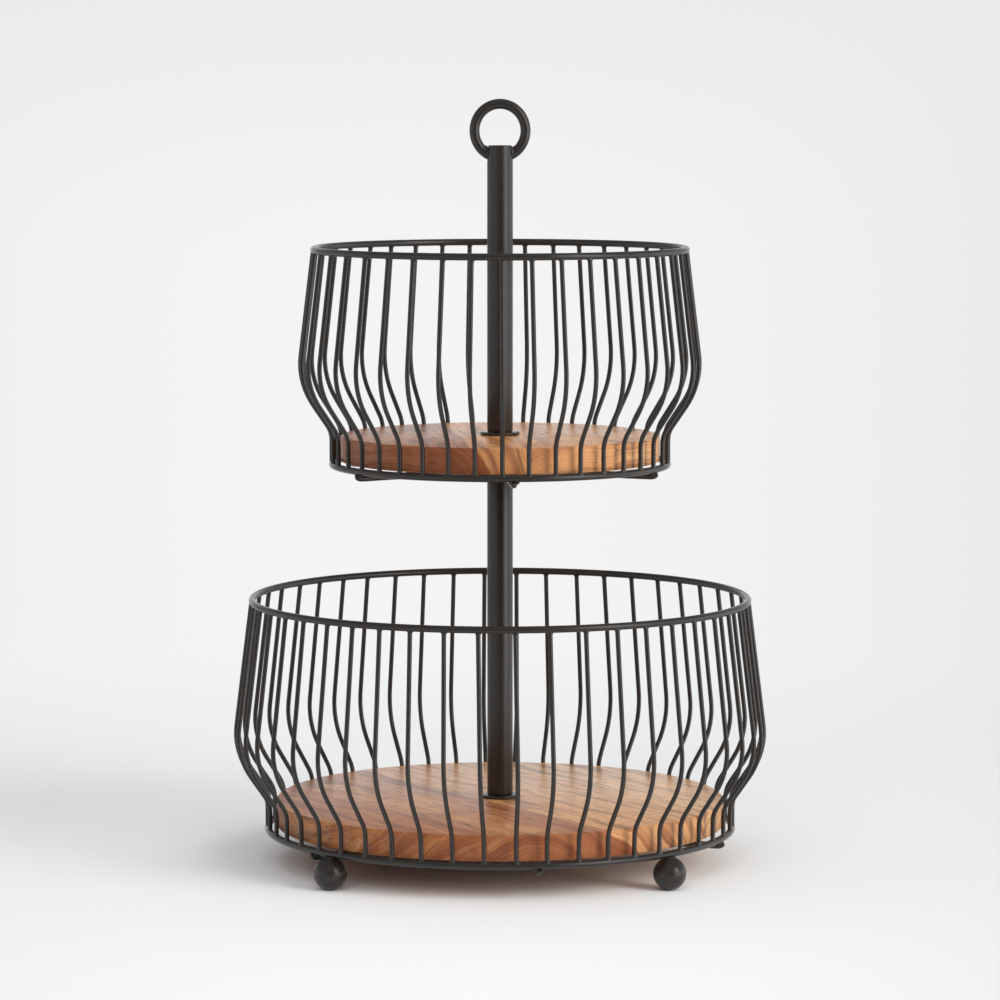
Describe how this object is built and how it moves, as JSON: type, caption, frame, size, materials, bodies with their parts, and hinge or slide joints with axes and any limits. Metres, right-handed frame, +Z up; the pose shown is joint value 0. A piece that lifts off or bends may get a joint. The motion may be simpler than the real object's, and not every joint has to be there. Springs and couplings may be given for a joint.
{
  "type": "two-tier fruit basket",
  "caption": "Tiered wire fruit basket: bulged round wire cages on wood disc floors, one above the other on a central tube with a ring handle on top, standing on ball feet.",
  "frame": {"origin": "on the floor, on the central tube's axis", "axes": "+Z up along the tube, -Y towards the viewer of the picture, +X to the viewer's right"},
  "size_m": [0.393, 0.3926, 0.5653],
  "materials": {
    "black_powder_coat": "satin black powder coat on steel",
    "oiled_acacia": "oiled acacia, edge-glued staves",
    "zinc_plated_steel": "bright zinc plate on steel"
  },
  "bodies": {
    "root": {"base_bolt": "zinc_plated_steel", "base_washer": "zinc_plated_steel", "foot_front_left": "black_powder_coat", "foot_front_right": "black_powder_coat", "foot_rear_left": "black_powder_coat", "foot_rear_right": "black_powder_coat", "lower_arm_1": "black_powder_coat", "lower_arm_2": "black_powder_coat", "lower_arm_3": "black_powder_coat", "lower_arm_4": "black_powder_coat", "lower_arm_5": "black_powder_coat", "lower_arm_6": "black_powder_coat", "lower_disc_washer": "black_powder_coat", "lower_hub_plate": "black_powder_coat", "lower_rim_ring": "black_powder_coat", "lower_support_ring": "black_powder_coat", "lower_tube": "black_powder_coat", "lower_tube_bottom_insert": "zinc_plated_steel", "lower_tube_top_insert": "zinc_plated_steel", "lower_wire_cage": "black_powder_coat", "lower_wood_disc": "oiled_acacia", "ring_handle": "black_powder_coat", "tier_stud": "zinc_plated_steel", "upper_arm_1": "black_powder_coat", "upper_arm_2": "black_powder_coat", "upper_arm_3": "black_powder_coat", "upper_arm_4": "black_powder_coat", "upper_arm_5": "black_powder_coat", "upper_arm_6": "black_powder_coat", "upper_disc_washer": "black_powder_coat", "upper_hub_plate": "black_powder_coat", "upper_rim_ring": "black_powder_coat", "upper_support_ring": "black_powder_coat", "upper_tube": "black_powder_coat", "upper_tube_insert": "zinc_plated_steel", "upper_wire_cage": "black_powder_coat", "upper_wood_disc": "oiled_acacia"}
  },
  "joints": []
}
